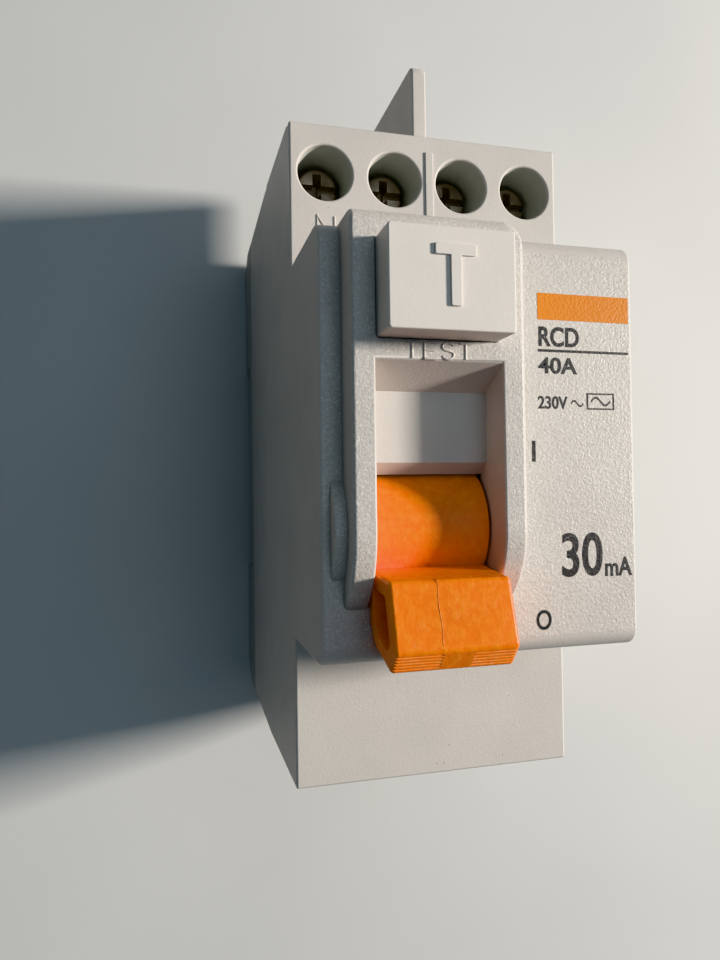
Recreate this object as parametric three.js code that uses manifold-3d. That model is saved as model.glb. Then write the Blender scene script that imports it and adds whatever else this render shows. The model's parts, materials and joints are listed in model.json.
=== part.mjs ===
// Two-pole residual current device, two 18 mm modules wide, for a 35 mm mounting rail.
// Millimetres. The origin is the centre of the rail seat. +X is the width, +Y points to the
// terminals and +Z out of the front. The toggle stands at O, its rest position.

import * as THREE from 'three';
import { mergeVertices } from 'three/addons/utils/BufferGeometryUtils.js';
import Module from 'manifold-3d';

// ---- driving dimensions -------------------------------------------------------------------

const HALF_WIDTH = 18;
const BODY_HALF_HEIGHT = 40.5;
const BACK_HALF_HEIGHT = 39;
const NOSE_HALF_HEIGHT = 22.5;
const FOOT_Z = -5.5;
const SPLIT_Z = 3;
const TAPER_Z = 22;
const SHOULDER_Z = 44;
const FACE_Z = 60;
const BEZEL_Z = 64.3;
const NOSE_ROLL = 2;
const WALL = 1.6;
const GAP = 0.3;
const AXLE = { radius: 1.35, hole: 1.65 };

const RAIL_HALF_HEIGHT = 17.7;
const RAIL_LIP = 1.4;

const BEZEL = { left: -15.75, right: 2.5, roll: 1.4, corner: 2, wrap: 146, foot: -16.6 };
const OPENING = { left: -13.4, right: 0.08, top: -3.2, bottom: -19, depth: 12 };
const WINDOW = { left: -13.3, right: -0.02, top: 7.9, floorTop: 5.3, floorBottom: -2 };

const TOGGLE = { y: -8.8, z: 54.65, barrel: 6.35, boss: 7.35, bossLeft: -17.05, swing: 80 };
const BARREL_X = [-13.1, -0.22];
const LEVER_X = [-13, -0.45];
const BARREL_HOLLOW = { radius: 4.6, mouth: [-4, 6], x: [[-11.9, -7.9], [-5.6, -1.5]] };
const CRANK = { radius: 6.6, lean: TOGGLE.swing / 2 };
const LINK = { x: -9.2, inner: -5, radius: 0.6, length: 12, drop: 1.79 };
const CARRIER = { y: 3.2, z: 26, arm: 22.2, lean: 11, hub: 4.2 };

const BUTTON = { left: -13.22, right: -0.49, bottom: 9.9, top: 19.65, z: 68.35, relief: 0.25 };
const PANEL = { half: 17.95, low: 23.5, high: 41.9, proud: 0.35 };
const STEM = { x: -6.9, y: 15.5, radius: 1.9, tip: 48.5 };

const TERMINAL_PITCH = 9;
const TERMINAL_Y = 34.5;
const TERMINAL_X = [-1.5, -0.5, 0.5, 1.5].map((step) => step * TERMINAL_PITCH);
const ACCESS_RADIUS = 3.45;
const LEDGE_Z = 33;
const BLOCK_Z = 31.6;
const SCREW = { head: 3.1, top: 38.8, slotFloor: 37.4, slotHalf: 0.5, shank: 2.2 };
const WIRE_ENTRY = { half: 2.7, low: 15.9, high: 22.4 };
const PLATE_Z = 22;
const PLATE_THICKNESS = 1.2;
const PLATE_TOP = PLATE_Z + PLATE_THICKNESS;
const PLATE_HALF = 2.2;
const CAGE = {
  half: 3.2, inner: 2.3, bottom: 15.2, floor: 16.4, roof: 24, top: 26, near: 30.4, far: 37.8,
};
const BARRIER = { half: 0.95, foot: 38.75, edge: 51.5, low: 6.9, high: 41, corner: 1.2, slope: 0.5 };

const CONTACT_X = [-12.6, 4.2];
const INPUT_X = [TERMINAL_X[0], TERMINAL_X[2]];
const OUTPUT_X = [TERMINAL_X[1], TERMINAL_X[3]];
const CONTACT = { y: 19.9, fixedZ: 20.7, half: 1.3 };

const TOROID = { x: -5, y: -25, inner: 5, outer: 10.8, bottom: 7.5, top: 16.5 };
const LEAD = { radius: 1.5, z: 4.9, x: [-4.5, -0.5], y: [-23, -27], top: 22, end: 23.5 };
const RELAY = { left: 7.4, right: 15.1, bottom: -34, top: -15, low: 3.2, high: 22 };
const PLUNGER = { x: 11.3, y: -19, radius: 1, low: 18, high: 26 };
const TRIP = { y: -8, z: 31, left: 10.3, right: 12.3 };

const SNAP = { x: [-10, 10], half: 2, reach: 38.7, low: 7.4, high: 9.4 };
const LATCH = { half: 6, front: -1.4, back: -3.6, nose: -16.2, end: -40.2 };

// ---- shape helpers ------------------------------------------------------------------------

const wasm = await Module();
wasm.setup();

function solidOf(geometry) {
  const bare = geometry.clone();
  for (const name of Object.keys(bare.attributes)) {
    if (name !== 'position') bare.deleteAttribute(name);
  }
  const merged = mergeVertices(bare);
  const index = merged.index.array;
  const kept = [];
  for (let i = 0; i < index.length; i += 3) {
    const [a, b, c] = [index[i], index[i + 1], index[i + 2]];
    if (a !== b && b !== c && c !== a) kept.push(a, b, c);
  }
  return new wasm.Manifold(new wasm.Mesh({
    numProp: 3,
    vertProperties: new Float32Array(merged.attributes.position.array),
    triVerts: new Uint32Array(kept),
  }));
}

function geometryOf(solid) {
  const { vertProperties, triVerts } = solid.getMesh();
  const geometry = new THREE.BufferGeometry();
  geometry.setAttribute('position', new THREE.BufferAttribute(vertProperties, 3));
  geometry.setIndex(new THREE.BufferAttribute(triVerts, 1));
  geometry.computeVertexNormals();
  return geometry;
}

const join = (...solids) => solids.reduce((sum, solid) => sum.add(solid));
const cut = (solid, ...tools) => tools.reduce((left, tool) => left.subtract(tool), solid);

function box([x0, x1], [y0, y1], [z0, z1]) {
  const geometry = new THREE.BoxGeometry(x1 - x0, y1 - y0, z1 - z0);
  geometry.translate((x0 + x1) / 2, (y0 + y1) / 2, (z0 + z1) / 2);
  return solidOf(geometry);
}

function rodX(y, z, radius, [x0, x1], sides = 24) {
  const geometry = new THREE.CylinderGeometry(radius, radius, x1 - x0, sides);
  geometry.rotateZ(Math.PI / 2);
  geometry.translate((x0 + x1) / 2, y, z);
  return solidOf(geometry);
}

function rodZ(x, y, radius, [z0, z1], sides = 24) {
  const geometry = new THREE.CylinderGeometry(radius, radius, z1 - z0, sides);
  geometry.rotateX(Math.PI / 2);
  geometry.translate(x, y, (z0 + z1) / 2);
  return solidOf(geometry);
}

function extrude(points, depth) {
  const shape = new THREE.Shape(points.map(([u, v]) => new THREE.Vector2(u, v)));
  return new THREE.ExtrudeGeometry(shape, { depth, bevelEnabled: false, steps: 1 });
}

// A side profile of [y, z] points, carried along X.
function prismX(points, [x0, x1]) {
  const geometry = extrude(points, x1 - x0);
  const turn = new THREE.Matrix4().makeBasis(
    new THREE.Vector3(0, 1, 0), new THREE.Vector3(0, 0, 1), new THREE.Vector3(1, 0, 0));
  geometry.applyMatrix4(turn);
  geometry.translate(x0, 0, 0);
  return solidOf(geometry);
}

// A front profile of [x, y] points, carried along Z.
function prismZ(points, [z0, z1]) {
  const geometry = extrude(points, z1 - z0);
  geometry.translate(0, 0, z0);
  return solidOf(geometry);
}

function arc(centreU, centreV, radius, fromDegrees, toDegrees, steps) {
  return Array.from({ length: steps + 1 }, (_, i) => {
    const angle = THREE.MathUtils.degToRad(fromDegrees + ((toDegrees - fromDegrees) * i) / steps);
    return [centreU + radius * Math.cos(angle), centreV + radius * Math.sin(angle)];
  });
}

// Local [y, z] points turned about the X direction and moved to a pivot.
function turned(points, pivot, degrees) {
  const angle = THREE.MathUtils.degToRad(degrees);
  return points.map(([u, v]) => [
    pivot.y + u * Math.cos(angle) - v * Math.sin(angle),
    pivot.z + u * Math.sin(angle) + v * Math.cos(angle),
  ]);
}

function sweep(curve, radius, steps, sides = 8) {
  const section = new THREE.Shape(
    arc(0, 0, radius, 0, 360 - 360 / sides, sides - 1).map(([u, v]) => new THREE.Vector2(u, v)));
  const settings = { steps, extrudePath: curve, bevelEnabled: false };
  return solidOf(new THREE.ExtrudeGeometry(section, settings));
}

// A wire through the given points, straight between bends of the given size.
function wire(points, bend, radius, steps, sides) {
  const at = points.map(([x, y, z]) => new THREE.Vector3(x, y, z));
  const path = new THREE.CurvePath();
  let from = at[0];
  for (let i = 1; i < at.length - 1; i += 1) {
    const into = at[i].clone().add(at[i - 1].clone().sub(at[i]).setLength(bend));
    const out = at[i].clone().add(at[i + 1].clone().sub(at[i]).setLength(bend));
    path.add(new THREE.LineCurve3(from, into));
    path.add(new THREE.QuadraticBezierCurve3(into, at[i], out));
    from = out;
  }
  path.add(new THREE.LineCurve3(from, at[at.length - 1]));
  return sweep(path, radius, steps, sides);
}

const AXES = {
  x: [new THREE.Vector3(0, 1, 0), new THREE.Vector3(0, 0, 1), new THREE.Vector3(1, 0, 0)],
  y: [new THREE.Vector3(0, 0, 1), new THREE.Vector3(1, 0, 0), new THREE.Vector3(0, 1, 0)],
  z: [new THREE.Vector3(1, 0, 0), new THREE.Vector3(0, 1, 0), new THREE.Vector3(0, 0, 1)],
};

class Helix extends THREE.Curve {
  constructor(axis, centre, radius, length, turns) {
    super();
    Object.assign(this, { axis, centre, radius, length, turns });
  }

  getPoint(t, target = new THREE.Vector3()) {
    const [u, v, along] = AXES[this.axis];
    const angle = 2 * Math.PI * this.turns * t;
    return target.copy(this.centre)
      .addScaledVector(u, this.radius * Math.cos(angle))
      .addScaledVector(v, this.radius * Math.sin(angle))
      .addScaledVector(along, this.length * t);
  }
}

// A coil spring whose wire lies wholly between the two ends of its length.
function coil(axis, [x, y, z], radius, wireRadius, length, turns) {
  const start = new THREE.Vector3(x, y, z).addScaledVector(AXES[axis][2], wireRadius);
  const curve = new Helix(axis, start, radius, length - 2 * wireRadius, turns);
  return sweep(curve, wireRadius, Math.round(turns * 10), 6);
}

// ---- materials ----------------------------------------------------------------------------

const paint = (color, roughness, metalness = 0) =>
  new THREE.MeshStandardMaterial({ color, roughness, metalness });

const LOOKS = {
  casing: paint(0xd3cdc6, 0.55),
  base: paint(0xbdb8b2, 0.6),
  button: paint(0xe2ded9, 0.4),
  toggle: paint(0xe8760f, 0.42),
  frame: paint(0x2b2c2e, 0.6),
  steel: paint(0x9a9da1, 0.35, 1),
  spring: paint(0xb4b7ba, 0.3, 1),
  copper: paint(0xb87347, 0.35, 1),
  silver: paint(0xcfd1d3, 0.3, 1),
  ferrite: paint(0x3a4d6b, 0.5),
  winding: paint(0xa4501c, 0.35, 0.6),
  insulation: paint(0x2a5fa8, 0.5),
  relay: paint(0x1d1e20, 0.45),
  resistor: paint(0x9fb5a0, 0.5),
};

const device = new THREE.Group();

function add(name, solid, look, [x, y, z] = [0, 0, 0]) {
  const mesh = new THREE.Mesh(geometryOf(solid), LOOKS[look]);
  mesh.name = name;
  mesh.position.set(x, y, z);
  device.add(mesh);
}

// ---- casing -------------------------------------------------------------------------------

function casingOutline() {
  const nose = NOSE_HALF_HEIGHT - NOSE_ROLL;
  const roll = FACE_Z - NOSE_ROLL;
  return [
    [-BACK_HALF_HEIGHT, SPLIT_Z],
    [BACK_HALF_HEIGHT, SPLIT_Z],
    [BODY_HALF_HEIGHT, TAPER_Z],
    [BODY_HALF_HEIGHT, SHOULDER_Z],
    [NOSE_HALF_HEIGHT, SHOULDER_Z],
    ...arc(nose, roll, NOSE_ROLL, 0, 90, 6),
    ...arc(-nose, roll, NOSE_ROLL, 90, 180, 6),
    [-NOSE_HALF_HEIGHT, SHOULDER_Z],
    [-BODY_HALF_HEIGHT, SHOULDER_Z],
    [-BODY_HALF_HEIGHT, TAPER_Z],
  ];
}

function casingHollow() {
  const back = BACK_HALF_HEIGHT - WALL;
  const end = BODY_HALF_HEIGHT - WALL;
  const nose = NOSE_HALF_HEIGHT - WALL;
  const block = 28.6;
  const main = prismX([
    [-back, SPLIT_Z - 0.1], [back, SPLIT_Z - 0.1], [end, TAPER_Z], [end, BLOCK_Z],
    [block, BLOCK_Z], [block, SHOULDER_Z - WALL], [nose, SHOULDER_Z - WALL],
    [nose, FACE_Z - WALL], [-nose, FACE_Z - WALL], [-nose, SHOULDER_Z - WALL],
    [-end, SHOULDER_Z - WALL], [-end, TAPER_Z],
  ], [WALL - HALF_WIDTH, HALF_WIDTH - WALL]);
  const besideCages = prismX([
    [block, SPLIT_Z - 0.1], [back, SPLIT_Z - 0.1], [end, TAPER_Z], [end, BLOCK_Z], [block, BLOCK_Z],
  ], [1 - HALF_WIDTH, HALF_WIDTH - 1]);
  return main.add(besideCages);
}

function bezel() {
  const profile = [
    [NOSE_HALF_HEIGHT, FACE_Z - 2],
    ...arc(NOSE_HALF_HEIGHT - BEZEL.roll, BEZEL_Z - BEZEL.roll, BEZEL.roll, 0, 90, 5),
    ...arc(TOGGLE.y, TOGGLE.z, BEZEL_Z - TOGGLE.z, 90, BEZEL.wrap, 12),
    [BEZEL.foot, FACE_Z - 1],
    [NOSE_HALF_HEIGHT - WALL, FACE_Z - 1],
  ];
  const { corner } = BEZEL;
  const plan = [
    [BEZEL.left, OPENING.bottom], [BEZEL.right, OPENING.bottom],
    ...arc(BEZEL.right - corner, NOSE_HALF_HEIGHT - corner, corner, 0, 90, 6),
    [BEZEL.left, NOSE_HALF_HEIGHT],
  ];
  return prismX(profile, [BEZEL.left, BEZEL.right]).intersect(prismZ(plan, [FACE_Z - 4, BEZEL_Z + 1]));
}

function windowRecess() {
  const steep = (BEZEL_Z - FACE_Z) / (WINDOW.top - WINDOW.floorTop);
  return prismX([
    [WINDOW.top + 1 / steep, BEZEL_Z + 1], [WINDOW.floorTop, FACE_Z], [WINDOW.floorBottom, FACE_Z],
    [OPENING.top, FACE_Z - 1.5], [OPENING.top, FACE_Z - 3], [-6, FACE_Z - 3], [-6, BEZEL_Z + 1],
  ], [WINDOW.left, WINDOW.right]);
}

function toggleCheeks() {
  const y = [TOGGLE.y - 5, TOGGLE.y + 5];
  const z = [TOGGLE.z - 5, FACE_Z - 1];
  return join(
    box([WALL - HALF_WIDTH - 0.1, OPENING.left], y, z),
    box([OPENING.right, BEZEL.right], y, z));
}

function terminalHoles(x) {
  const { half, low, high } = WIRE_ENTRY;
  return join(
    rodZ(x, TERMINAL_Y, ACCESS_RADIUS, [LEDGE_Z, SHOULDER_Z + 1], 32),
    rodZ(x, TERMINAL_Y, 2.6, [BLOCK_Z - 1, LEDGE_Z + 0.1]),
    box([x - half, x + half], [BODY_HALF_HEIGHT - 3, BODY_HALF_HEIGHT + 1], [low, high]));
}

function snapWindows() {
  const half = SNAP.half + GAP;
  const z = [SNAP.low - GAP, SNAP.high + GAP];
  const at = (x, y) => box([x - half, x + half], [y - 2, y + 2], z);
  return join(...SNAP.x.flatMap((x) => [at(x, BACK_HALF_HEIGHT), at(x, -BACK_HALF_HEIGHT)]));
}

function barrierGroove() {
  const half = BARRIER.half + GAP;
  const y = [BARRIER.foot - GAP, BODY_HALF_HEIGHT + 1];
  return box([-half, half], y, [BARRIER.low - GAP, BARRIER.high + GAP]);
}

function toggleOpening() {
  const { left, right, top, bottom, depth } = OPENING;
  return box([left, right], [bottom, top], [FACE_Z - depth, BEZEL_Z + 1]);
}

function buttonOpening() {
  const { left, right, bottom, top } = BUTTON;
  return join(
    box([-14.15, 1.1], [9.05, 20.3], [FACE_Z - 2, BEZEL_Z - WALL]),
    box([left - GAP, right + GAP], [bottom - GAP, top + GAP], [BEZEL_Z - 3, BEZEL_Z + 1]));
}

function endPanel() {
  const { half, low, high, proud } = PANEL;
  return box([-half, half], [BODY_HALF_HEIGHT - 0.1, BODY_HALF_HEIGHT + proud], [low, high]);
}

function frontHousing() {
  const wide = [-HALF_WIDTH, HALF_WIDTH];
  const shell = cut(prismX(casingOutline(), wide), casingHollow());
  const boss = rodX(TOGGLE.y, TOGGLE.z, TOGGLE.boss, [TOGGLE.bossLeft, BEZEL.left + 0.1], 40)
    .intersect(box([-HALF_WIDTH, 0], [-30, 20], [FACE_Z - 1, FACE_Z + 5]));
  const ledges = join(
    box([-16.5, -15.4], [12, 20], [48, 49.3]),
    box([15.4, 16.5], [12, 20], [48, 49.3]));
  const ribZ = [SHOULDER_Z - 0.1, SHOULDER_Z + 0.2];
  const shoulderRib = box([-0.45, 0.6], [NOSE_HALF_HEIGHT - 0.1, 38.4], ribZ);
  const body = join(shell, bezel(), boss, toggleCheeks(), ledges, shoulderRib, endPanel());
  return cut(
    body,
    ...TERMINAL_X.map(terminalHoles),
    windowRecess(),
    toggleOpening(),
    rodX(TOGGLE.y, TOGGLE.z, AXLE.hole, [-15.4, 2.1]),
    buttonOpening(),
    barrierGroove(),
    snapWindows());
}

// ---- rear base ----------------------------------------------------------------------------

function baseOutline() {
  const top = SPLIT_Z - GAP;
  return [
    [-38.9, top], [-38.5, -1.5], [-35.5, FOOT_Z], [-17.9, FOOT_Z],
    [-17.9, GAP], [-15.5, GAP], [-15.5, 0], [15.5, 0], [15.5, GAP], [RAIL_HALF_HEIGHT, GAP],
    [RAIL_HALF_HEIGHT, -RAIL_LIP], [16.2, -RAIL_LIP - 0.1], [16.2, -2.6], [17.9, -4.4],
    [17.9, FOOT_Z], [35.5, FOOT_Z], [38.5, -1.5], [38.9, top],
  ];
}

function footPockets() {
  const deep = [-3.9, SPLIT_Z];
  return join(
    box([-16, -8], [-34, -20], deep),
    box([8, 16], [-34, -20], deep),
    box([-16, -1], [20.5, 34.5], deep),
    box([1, 16], [20.5, 34.5], deep));
}

function rim() {
  const z = [SPLIT_Z - GAP - 0.1, 5];
  return cut(
    box([-16.1, 16.1], [-37, 37], z),
    box([-15.4, 15.4], [-36.2, 36.2], [0, 6]));
}

function partition(x) {
  const low = SPLIT_Z - GAP - 0.1;
  const reach = x === 0 ? 38.15 : 38.5;
  return prismX(
    [[27, low], [37, low], [reach, TAPER_Z], [reach, 31.2], [27, 31.2]],
    [x - 0.5, x + 0.5]);
}

function platePillar(x) {
  return box([x - 1.6, x + 1.6], [27.3, 29.2], [-4, PLATE_Z - GAP]);
}

function framePosts() {
  const places = [[-12, -2], [-12, 5], [5, -2], [5, 5], [13, -9]];
  return join(...places.map(([x, y]) => rodZ(x, y, 1.2, [2, 8.2], 12)));
}

function toroidPosts() {
  return join(...[135, 225, 285].map((degrees) => {
    const [[x, y]] = arc(TOROID.x, TOROID.y, 8, degrees, degrees, 1);
    const foot = Math.abs(x) > LATCH.half ? -4 : -1;
    return rodZ(x, y, 1.2, [foot, TOROID.bottom - GAP], 12);
  }));
}

function snapHook(x, side) {
  const { half, reach, low, high } = SNAP;
  const root = reach - 1.6;
  const profile = [
    [36, 2], [root, 2], [root, low], [reach, low], [reach, low + 0.4], [root, high], [36, high],
  ].map(([y, z]) => [side * y, z]);
  if (side < 0) profile.reverse();
  return prismX(profile, [x - half, x + half]);
}

function rearBase() {
  const latchSlot = box([-LATCH.half - GAP, LATCH.half + GAP], [-42, -17.8], [-3.9, -1.1]);
  const springPeg = box([-1.6, 1.6], [-33.5, -32.5], [-4, -1]);
  const block = cut(prismX(baseOutline(), [-HALF_WIDTH, HALF_WIDTH]), footPockets());
  return join(
    cut(block, latchSlot),
    springPeg,
    rim(),
    ...[-TERMINAL_PITCH, 0, TERMINAL_PITCH].map(partition),
    ...TERMINAL_X.map(platePillar),
    framePosts(),
    toroidPosts(),
    ...SNAP.x.flatMap((x) => [snapHook(x, 1), snapHook(x, -1)]));
}

function terminalBarrier() {
  const { half, foot, edge, low, high, corner, slope } = BARRIER;
  const fin = [
    [foot, low], [edge - slope, low], [edge, low + slope],
    ...arc(edge - corner, high - corner, corner, 0, 90, 4), [foot, high],
  ];
  return prismX(fin, [-half, half]);
}

function dinLatch() {
  const plate = prismX([
    [LATCH.nose, LATCH.front], [LATCH.end, LATCH.front], [LATCH.end, LATCH.back],
    [LATCH.nose - 1.4, LATCH.back], [LATCH.nose, LATCH.front - 0.8],
  ], [-LATCH.half, LATCH.half]);
  return cut(
    plate,
    box([-2.2, 2.2], [-34, -24], [-5, 0]),
    box([-2.4, 2.4], [-39.5, -38.3], [-5, 0]));
}

// ---- terminals ----------------------------------------------------------------------------

function terminalScrew() {
  const { head: radius, top, slotFloor, slotHalf } = SCREW;
  const cutDepth = [slotFloor, top + 1];
  const head = rodZ(0, 0, radius, [LEDGE_Z + GAP, top], 24);
  const shank = rodZ(0, 0, SCREW.shank, [PLATE_Z + PLATE_THICKNESS + GAP, LEDGE_Z + 0.4], 20);
  const slot = box([-radius - 1, radius + 1], [-slotHalf, slotHalf], cutDepth);
  const cross = box([-slotHalf, slotHalf], [-2, 2], cutDepth);
  return cut(join(head, shank), slot, cross);
}

function cageClamp() {
  const { half, inner, bottom, floor, roof, top } = CAGE;
  const y = [CAGE.near - TERMINAL_Y, CAGE.far - TERMINAL_Y];
  const through = [y[0] - 1, y[1] + 1];
  return cut(
    box([-half, half], y, [bottom, top]),
    box([-inner, inner], through, [floor, PLATE_Z]),
    box([-2.6, 2.6], through, [PLATE_Z - 0.1, roof]),
    rodZ(0, 0, 2.5, [roof - 1, top + 1], 20));
}

function inputPlate() {
  return box([-PLATE_HALF, PLATE_HALF], [18.2, 38.2], [PLATE_Z, PLATE_TOP]);
}

function outputPlate() {
  return join(
    box([-PLATE_HALF, PLATE_HALF], [24, 38.2], [PLATE_Z, PLATE_TOP]),
    box([-PLATE_HALF, PLATE_HALF], [24, 25.2], [9.5, PLATE_TOP]));
}

function addTerminals() {
  TERMINAL_X.forEach((x, i) => {
    add(`terminal_screw_${i + 1}`, terminalScrew(), 'steel', [x, TERMINAL_Y, 0]);
    add(`cage_clamp_${i + 1}`, cageClamp(), 'steel', [x, TERMINAL_Y, 0]);
  });
  INPUT_X.forEach((x, i) => add(`input_plate_${i + 1}`, inputPlate(), 'copper', [x, 0, 0]));
  OUTPUT_X.forEach((x, i) => add(`output_plate_${i + 1}`, outputPlate(), 'copper', [x, 0, 0]));
}

// ---- toggle and contacts ------------------------------------------------------------------

function leverProfile() {
  return [
    [-12.75, 59.6], [-13.25, 65.7], [-13.65, 66.25], [-19.4, 68], [-20, 67.9], [-21.85, 66.45],
    [-21.9, 65.9], [-20.85, 64], [-20, 61.5], [-17.8, 59.5], [-13.6, 55.5], [-9, 56],
  ];
}

function leverPocket() {
  return [[-14.5, 60.8], [-14.8, 65.1], [-19.4, 66.5], [-20.1, 65.4], [-19, 62.4], [-17.2, 60.9]];
}

function toggleLever() {
  const barrel = rodX(TOGGLE.y, TOGGLE.z, TOGGLE.barrel, BARREL_X, 48);
  const lever = prismX(leverProfile(), LEVER_X);
  const end = -CRANK.radius;
  const [near, far] = BARREL_HOLLOW.mouth;
  const leg = turned(
    [[1.7, 0], [-1.7, 0], ...arc(0, end, 1.7, 180, 360, 8)], TOGGLE, CRANK.lean);
  const belowBarrel = turned([[near, 0], [near, -8], [far, -8], [far, 0]], TOGGLE, CRANK.lean);
  const hollows = BARREL_HOLLOW.x.map((x) => join(
    prismX(belowBarrel, x),
    rodX(TOGGLE.y, TOGGLE.z, BARREL_HOLLOW.radius, x, 32)));
  const crank = crankPin();
  const body = cut(join(barrel, lever), ...hollows);
  return cut(
    join(body, prismX(leg, [-7.7, -5.8])),
    prismX(leverPocket(), [-14, -9]),
    rodX(crank.y, crank.z, LINK.radius + 0.35, [-9, -5], 16),
    rodX(TOGGLE.y, TOGGLE.z, AXLE.hole, [-14, 1]));
}

function crankPin() {
  const lean = THREE.MathUtils.degToRad(CRANK.lean);
  return {
    y: TOGGLE.y + CRANK.radius * Math.sin(lean),
    z: TOGGLE.z - CRANK.radius * Math.cos(lean),
  };
}

function linkRod() {
  const { y, z } = crankPin();
  const far = [y + LINK.length, z - LINK.drop];
  return wire([
    [LINK.inner, y, z], [LINK.x, y, z], [LINK.x, ...far], [LINK.inner, ...far],
  ], 1, LINK.radius, 40, 8);
}

// The carrier and its contact arms are drawn closed and turned open by their full swing.
const OPEN = -2 * CARRIER.lean;
const opened = (points) =>
  turned(points.map(([y, z]) => [y - CARRIER.y, z - CARRIER.z]), CARRIER, OPEN);

function contactCarrier() {
  const arm = turned(
    [[-2.6, 0], [2.6, 0], ...arc(0, CARRIER.arm, 2.5, 0, 180, 10)], CARRIER, -CARRIER.lean);
  const slot = turned(
    [...arc(0, CARRIER.arm - 2.2, 0.95, 180, 360, 6), ...arc(0, CARRIER.arm, 0.95, 0, 180, 6)],
    CARRIER, -CARRIER.lean);
  const web = opened([[0.5, 19], [5, 13.2], [12, 13.2], [12, 14.4], [7, 22.8], [1, 22.8]]);
  const shelf = opened([[5, 13.2], [12, 13.2], [12, 14.4], [5, 14.4]]);
  const inward = (x, from, to) => (x < 0 ? [x + from, x + to] : [x - to, x - from]);
  const side = (x) => join(
    prismX(web, inward(x, 2.1, 3.3)),
    prismX(shelf, inward(x, -1.6, 2.2)));
  return cut(
    join(
      rodX(CARRIER.y, CARRIER.z, CARRIER.hub, [-14.5, 6.1], 32),
      prismX(arm, [-7.9, -5.6]),
      ...CONTACT_X.map(side)),
    prismX(slot, [-9, -5]),
    rodX(CARRIER.y, CARRIER.z, AXLE.hole, [-15, 7], 20));
}

function contactArm(x) {
  const profile = opened([
    [-1.5, 20], [2.4, 20], [9.2, 17.4], [21.4, 17.4],
    [21.4, 18.6], [9.4, 18.6], [2.6, 21.3], [-1.5, 21.3],
  ]);
  return prismX(profile, [x - 1.6, x + 1.6]);
}

function movingTip(x) {
  const { y, fixedZ, half } = CONTACT;
  const top = fixedZ - GAP;
  const profile = opened([[y - half, 18.8], [y + half, 18.8], [y + half, top], [y - half, top]]);
  return prismX(profile, [x - half, x + half]);
}

function contactSpring(x) {
  const upright = coil('z', [0, 0, 0], 1.1, 0.25, 2.4, 2.5);
  const geometry = geometryOf(upright);
  geometry.rotateX(THREE.MathUtils.degToRad(OPEN));
  const [[y, z]] = opened([[9.9, 14.7]]);
  geometry.translate(x, y, z);
  return solidOf(geometry);
}

function addContacts() {
  const { y, fixedZ, half } = CONTACT;
  CONTACT_X.forEach((x, i) => {
    const fixedTip = box([x - half, x + half], [y - half, y + half], [fixedZ, PLATE_Z - GAP]);
    add(`fixed_contact_${i + 1}`, fixedTip, 'silver');
    add(`contact_arm_${i + 1}`, contactArm(x), 'copper');
    add(`moving_contact_${i + 1}`, movingTip(x), 'silver');
    add(`contact_spring_${i + 1}`, contactSpring(x), 'spring');
  });
  add('contact_carrier', contactCarrier(), 'frame');
  add('carrier_axle', rodX(CARRIER.y, CARRIER.z, AXLE.radius, [-16, 10.5], 20), 'steel');
  add('opening_spring', coil('x', [6.4, CARRIER.y, CARRIER.z], 2.4, 0.3, 2, 2.5), 'spring');
}

function mechanismFrame() {
  const left = [[-4, 8.6], [7, 8.6], [7, 29], [5, 31], [1, 31], [-4, 27]];
  const middle = [
    [-5, 8.6], [7, 8.6], [7, 29], [4, 32], [-4, 35], [-11, 35], [-12, 30], [-8, 25], [-5, 20],
  ];
  const right = [[-12, 8.6], [-4.5, 8.6], [-4.5, 35], [-11, 35], [-12, 33]];
  return cut(
    join(
      prismX(left, [-16.1, -14.9]),
      prismX(middle, [8.7, 9.9]),
      prismX(right, [14.9, 16.1]),
      box([-16.1, 9], [-4, 7], [8.5, 10]),
      box([8.7, 16.1], [-12, 7], [8.5, 10])),
    rodX(CARRIER.y, CARRIER.z, AXLE.hole, [-17, 11], 20),
    rodX(TRIP.y, TRIP.z, 1.3, [8, 17], 20));
}

// ---- residual current sensing and trip ----------------------------------------------------

function ringAboutToroid(inner, outer, bottom, top) {
  const at = [TOROID.x, TOROID.y];
  return cut(rodZ(...at, outer, [bottom, top], 40), rodZ(...at, inner, [bottom - 1, top + 1], 32));
}

function secondaryWinding() {
  const { x, y, inner, outer, bottom, top } = TOROID;
  const near = 0.25;
  const thick = 0.75;
  const around = (grown) =>
    ringAboutToroid(inner - grown, outer + grown, bottom - grown, top + grown);
  const jacket = cut(around(near + thick), around(near));
  const sector = prismZ([[x, y], ...arc(x, y, 20, -48, 48, 4)], [bottom - 3, top + 3]);
  return jacket.intersect(sector);
}

function primaryLead(i) {
  const across = LEAD.x[i];
  const plate = OUTPUT_X[i];
  const arm = CONTACT_X[i];
  const turn = i === 0 ? [] : [[plate, 12, LEAD.z], [across, 12, LEAD.z]];
  const aside = i === 0 ? [] : [[across, LEAD.y[i], LEAD.z]];
  return wire([
    [plate, 24.6, 9.2], [plate, 24.6, LEAD.z], ...turn, ...aside,
    [TOROID.x, LEAD.y[i], LEAD.z], [TOROID.x, LEAD.y[i], LEAD.top],
    [arm, LEAD.y[i] + 4, LEAD.top], [arm, -6, LEAD.end],
  ], 1.9, LEAD.radius, 70, 8);
}

function tripRelay() {
  return cut(
    box([RELAY.left, RELAY.right], [RELAY.bottom, RELAY.top], [RELAY.low, RELAY.high]),
    rodZ(PLUNGER.x, PLUNGER.y, PLUNGER.radius + GAP, [PLUNGER.low - GAP, RELAY.high + 1], 16));
}

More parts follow.
